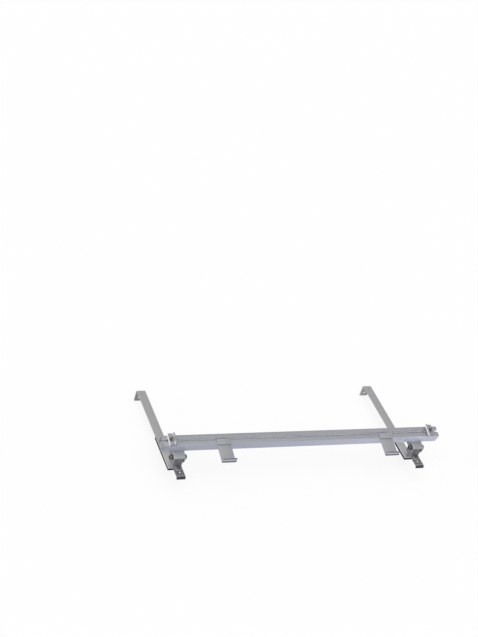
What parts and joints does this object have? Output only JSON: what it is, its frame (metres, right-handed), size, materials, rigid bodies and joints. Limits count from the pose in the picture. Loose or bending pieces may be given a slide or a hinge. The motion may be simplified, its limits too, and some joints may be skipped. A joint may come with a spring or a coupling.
{
  "type": "solar roof hook assembly",
  "caption": "Slotted aluminium rail carried on a pair of adjustable roof hooks, with end clamps and stops for a solar collector",
  "frame": {"origin": "midway between the two lip holes, on the face that bears on the batten", "axes": "+X along the rail, +Y up the roof slope, +Z away from the roof"},
  "size_m": [1.2, 0.5449, 0.2106],
  "materials": {
    "galvanised_steel": "satin",
    "rail_aluminium": "satin anodised",
    "dark_steel": "satin",
    "bolt_steel": "satin",
    "pad_rubber": "matt"
  },
  "bodies": {
    "hooks": {"strap_left": "galvanised_steel", "strap_right": "galvanised_steel", "pad_left": "pad_rubber", "pad_right": "pad_rubber", "foot_left": "dark_steel", "foot_right": "dark_steel", "arm_bolts": "bolt_steel", "arm_washers": "galvanised_steel", "arm_nuts": "bolt_steel", "pivot_bolts": "bolt_steel", "pivot_sleeves": "galvanised_steel", "pivot_washers": "bolt_steel", "pivot_nuts": "bolt_steel"},
    "rail": {"rail": "rail_aluminium", "saddle_left": "rail_aluminium", "saddle_right": "rail_aluminium", "saddle_bolts": "bolt_steel", "saddle_washers": "galvanised_steel", "saddle_nuts": "bolt_steel"},
    "clamp_left": {"clamp_left": "rail_aluminium", "clamp_bolt_left": "bolt_steel", "clamp_washer_left": "bolt_steel", "slot_nut_left": "galvanised_steel"},
    "clamp_right": {"clamp_right": "rail_aluminium", "clamp_bolt_right": "bolt_steel", "clamp_washer_right": "bolt_steel", "slot_nut_right": "galvanised_steel"},
    "stop_left": {"stop_left": "rail_aluminium"},
    "stop_right": {"stop_right": "rail_aluminium"}
  },
  "joints": [
    {"name": "rail_tilt", "type": "hinge", "parent": "hooks", "child": "rail", "pos_m": [0, -0.46, 0.109], "axis": [1, 0, 0], "range_deg": [-14.5, 20]},
    {"name": "clamp_left_slide", "type": "slide", "parent": "rail", "child": "clamp_left", "axis": [1, 0, 0], "range_m": [-0.02, 0.06]},
    {"name": "clamp_right_slide", "type": "slide", "parent": "rail", "child": "clamp_right", "axis": [1, 0, 0], "range_m": [-0.06, 0.02]},
    {"name": "stop_left_slide", "type": "slide", "parent": "rail", "child": "stop_left", "axis": [1, 0, 0], "range_m": [-0.1, 0.1]},
    {"name": "stop_right_slide", "type": "slide", "parent": "rail", "child": "stop_right", "axis": [1, 0, 0], "range_m": [-0.1, 0.1]}
  ]
}
